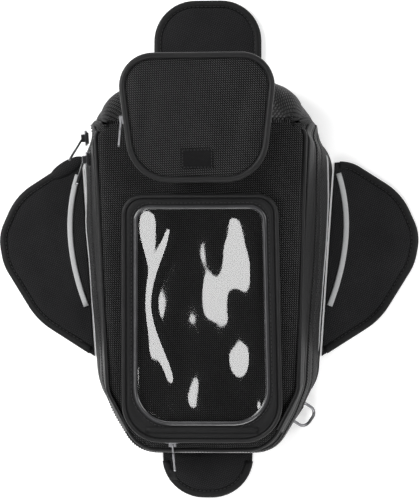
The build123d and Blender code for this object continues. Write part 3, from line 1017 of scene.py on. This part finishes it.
# ---- the left wing's front corner, curled up on itself ----
CURL_CENTRE = Vector((-116, 66, FLAP_TOP))
CURL_LONG = Vector((0.86, 0.5, 0)) * 16
CURL_SHORT = Vector((-0.5, 0.86, 0)) * 6
CURL_HEIGHT = Vector((0, 0, 3.4))
rows = []
for rise in spread(0, math.pi / 2, 7):
    row = []
    for q in [math.tau * i / 32 for i in range(32)]:
        flat = CURL_LONG * math.cos(q) + CURL_SHORT * math.sin(q)
        row.append(CURL_CENTRE + flat * math.cos(rise) + CURL_HEIGHT * math.sin(rise))
    rows.append(row)
curl = grid("left_wing_curled_corner", rows, flap_cloth)
place(curl, "left_wing", "flap_fabric")

# ---- light ribbon bowed along each wing ----
RIBBON_FRONT = Vector((107, 60))
RIBBON_BOW = Vector((122.5, 11))
RIBBON_REAR = Vector((99.5, -48))
RIBBON_PROFILE = ((-2.2, 5.2), (-1.2, 5.6), (1.2, 5.6), (2.2, 5.2))
ribbon_line = []
for s in spread(0, 1, 29):
    spot = RIBBON_FRONT * (1 - s) ** 2 + RIBBON_BOW * (2 * s * (1 - s)) + RIBBON_REAR * s ** 2
    along = ((RIBBON_BOW - RIBBON_FRONT) * (1 - s) + (RIBBON_REAR - RIBBON_BOW) * s).normalized()
    ribbon_line.append((spot, Vector((along.y, -along.x))))
for side, sign in SIDES:
    rows = []
    for out, z in RIBBON_PROFILE:
        edge = [spot + aside * out for spot, aside in ribbon_line]
        rows.append([Vector((spot.x * sign, spot.y, z)) for spot in edge])
    ribbon = grid(side + "_ribbon", rows, reflective, closed=False, thick=RIBBON_THICK)
    place(ribbon, side + "_wing", "reflective", side + "_wing_ribbon")

# ---- pieces kept as the solid model has them, each in this scene's material ----
KEPT = {
    "underside_grip_pad": grip,
    "base_panel": lining,
    "base_stiffener_board": board,
    "zip_end_tabs": binding_cloth,
    "d_ring_tab": binding_cloth,
    "d_ring": metal,
    "main_slider_rear": metal,
    "main_slider_front": metal,
    "main_pull_rear": metal,
    "main_pull_front": metal,
    "pouch_slider": metal,
    "pouch_pull": metal,
    "pocket_slider": metal,
    "pocket_pull": metal,
}
for name, mat in KEPT.items():
    kept = bpy.data.objects[name]
    kept.data.materials.clear()
    kept.data.materials.append(mat)

# ---- stage ----
paper = material("paper")
shader(paper).inputs["Base Color"].default_value = (0.93, 0.93, 0.93, 1)
shader(paper).inputs["Roughness"].default_value = 0.9
shader(paper).inputs["Specular IOR Level"].default_value = 0.1
shader(paper).inputs["Emission Color"].default_value = (1, 1, 1, 1)
shader(paper).inputs["Emission Strength"].default_value = 0.3
bm = bmesh.new()
bmesh.ops.create_grid(bm, x_segments=1, y_segments=1, size=3.0)
floor = link_mesh("floor", bm, paper)


# ---- light and camera, in metres ----
def facing_frame(at, aim):
    """Rotation of a lamp or camera that looks from at to aim, with its upper edge towards +Y."""
    away = (Vector(at) - Vector(aim)).normalized()
    level = Vector((0, 1, 0)).cross(away).normalized()
    return Matrix((level, away.cross(level), away)).transposed()


def soft_box(name, at, aim, wide, tall, power):
    """Rectangular lamp with its wide side kept level."""
    data = bpy.data.lights.new(name, "AREA")
    data.energy = power
    data.shape = "RECTANGLE"
    data.size = wide
    data.size_y = tall
    lamp = bpy.data.objects.new(name, data)
    lamp.matrix_world = Matrix.Translation(Vector(at)) @ facing_frame(at, aim).to_4x4()
    bpy.context.scene.collection.objects.link(lamp)


CENTRE = (0, 0, 0)
soft_box("window_soft_box", (-0.52, -0.45, 1.7), (0, -0.03, 0.07), 0.6, 0.9, 6.5)
soft_box("right_soft_box", (1.5, 0.3, 1.1), CENTRE, 1.0, 1.0, 19)
soft_box("left_soft_box", (-1.5, 0.5, 1.2), CENTRE, 1.0, 1.0, 40)
soft_box("rear_soft_box", (0.3, -1.7, 1.0), CENTRE, 1.0, 0.8, 19)
soft_box("front_soft_box", (0.1, 1.6, 1.3), CENTRE, 1.0, 0.8, 10)

world = bpy.context.scene.world or bpy.data.worlds.new("studio")
bpy.context.scene.world = world
world.use_nodes = True
world.node_tree.nodes["Background"].inputs["Color"].default_value = (1, 1, 1, 1)
world.node_tree.nodes["Background"].inputs["Strength"].default_value = 0.05
bpy.context.scene.view_settings.view_transform = "Standard"

CAMERA_AT = (0.11, -0.085, 1.6)
CAMERA_AIM = (0.0017, -0.002, 0)
camera_data = bpy.data.cameras.new("camera")
camera_data.lens = 141.0
camera = bpy.data.objects.new("camera", camera_data)
camera.location = CAMERA_AT
camera.rotation_euler = facing_frame(CAMERA_AT, CAMERA_AIM).to_euler()
bpy.context.scene.collection.objects.link(camera)
bpy.context.scene.camera = camera
